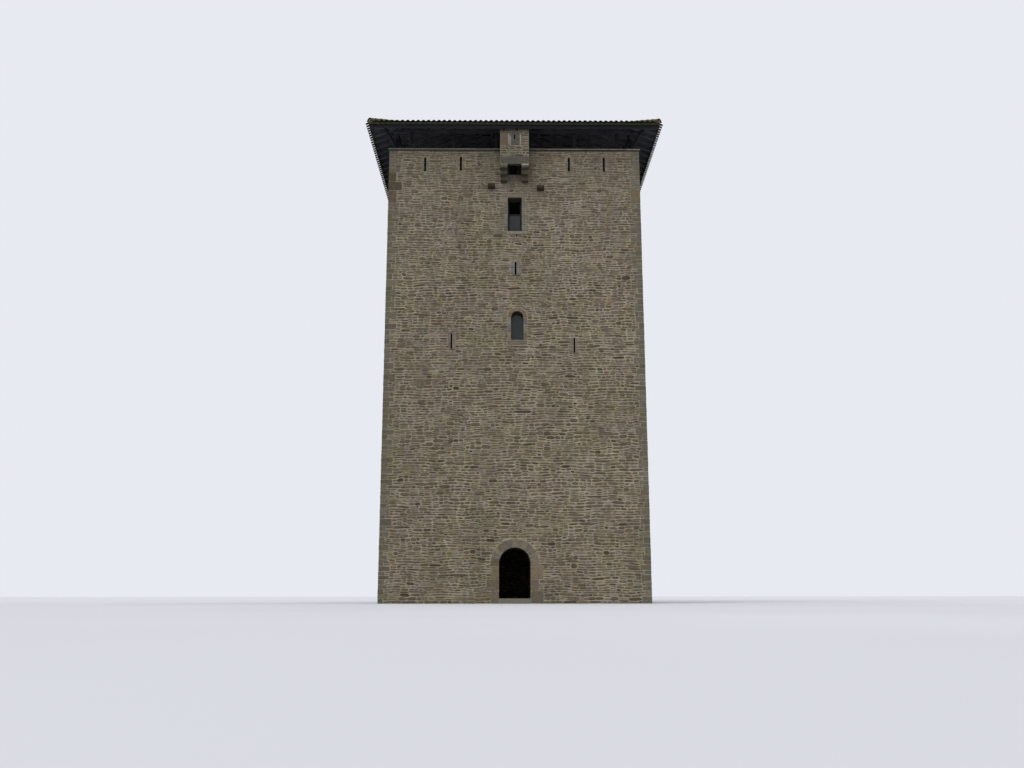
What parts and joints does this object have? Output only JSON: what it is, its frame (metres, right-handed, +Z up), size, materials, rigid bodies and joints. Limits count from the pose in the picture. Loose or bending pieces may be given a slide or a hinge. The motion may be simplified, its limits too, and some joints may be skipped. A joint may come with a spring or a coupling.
{
  "type": "castle keep",
  "caption": "Square stone castle keep with a hipped tile roof on posts over an open wall walk and a machicolation box on the front.",
  "frame": {"origin": "middle of the plan at ground level, the middle of the bottom of the part's box", "axes": "+Z up; the front wall with the machicolation box and the doorway faces -Y"},
  "size_m": [15.68, 15.68, 28.6932],
  "materials": {
    "rubble_stone": "coursed flat rubble with light mortar, dry and weathered",
    "dressed_stone": "tooled sandstone, greenish grey and brown",
    "clay_tile": "half-round clay tiles with moss and lichen",
    "stained_timber": "sawn timber with a dark stain",
    "oak_floor": "worn oak boards",
    "window_glass": "plain glass, grey-blue"
  },
  "bodies": {
    "root": {"apex_cap": "clay_tile", "back_parapet": "rubble_stone", "back_rafters": "stained_timber", "back_roof": "clay_tile", "back_wall_base": "rubble_stone", "back_wall_lower": "rubble_stone", "back_wall_upper": "rubble_stone", "box_cheeks": "rubble_stone", "box_front": "rubble_stone", "corbels": "dressed_stone", "corner_braces": "stained_timber", "eave_fascia": "stained_timber", "front_parapet": "rubble_stone", "front_rafters": "stained_timber", "front_roof": "clay_tile", "front_wall_base": "rubble_stone", "front_wall_lower": "rubble_stone", "front_wall_over_door": "rubble_stone", "front_wall_upper": "rubble_stone", "gallery_posts": "stained_timber", "ground_floor": "dressed_stone", "hall_floor": "oak_floor", "hip_rafters": "stained_timber", "hip_tiles": "clay_tile", "king_post": "stained_timber", "left_parapet": "rubble_stone", "left_rafters": "stained_timber", "left_roof": "clay_tile", "left_wall_base": "rubble_stone", "left_wall_lower": "rubble_stone", "left_wall_upper": "rubble_stone", "lower_floor": "oak_floor", "middle_floor": "oak_floor", "right_parapet": "rubble_stone", "right_rafters": "stained_timber", "right_roof": "clay_tile", "right_wall_base": "rubble_stone", "right_wall_lower": "rubble_stone", "right_wall_upper": "rubble_stone", "tie_beams": "stained_timber", "wall_plates_front_back": "stained_timber", "wall_plates_sides": "stained_timber", "wall_walk": "oak_floor", "window_frames": "stained_timber", "window_glass": "window_glass"}
  },
  "joints": []
}
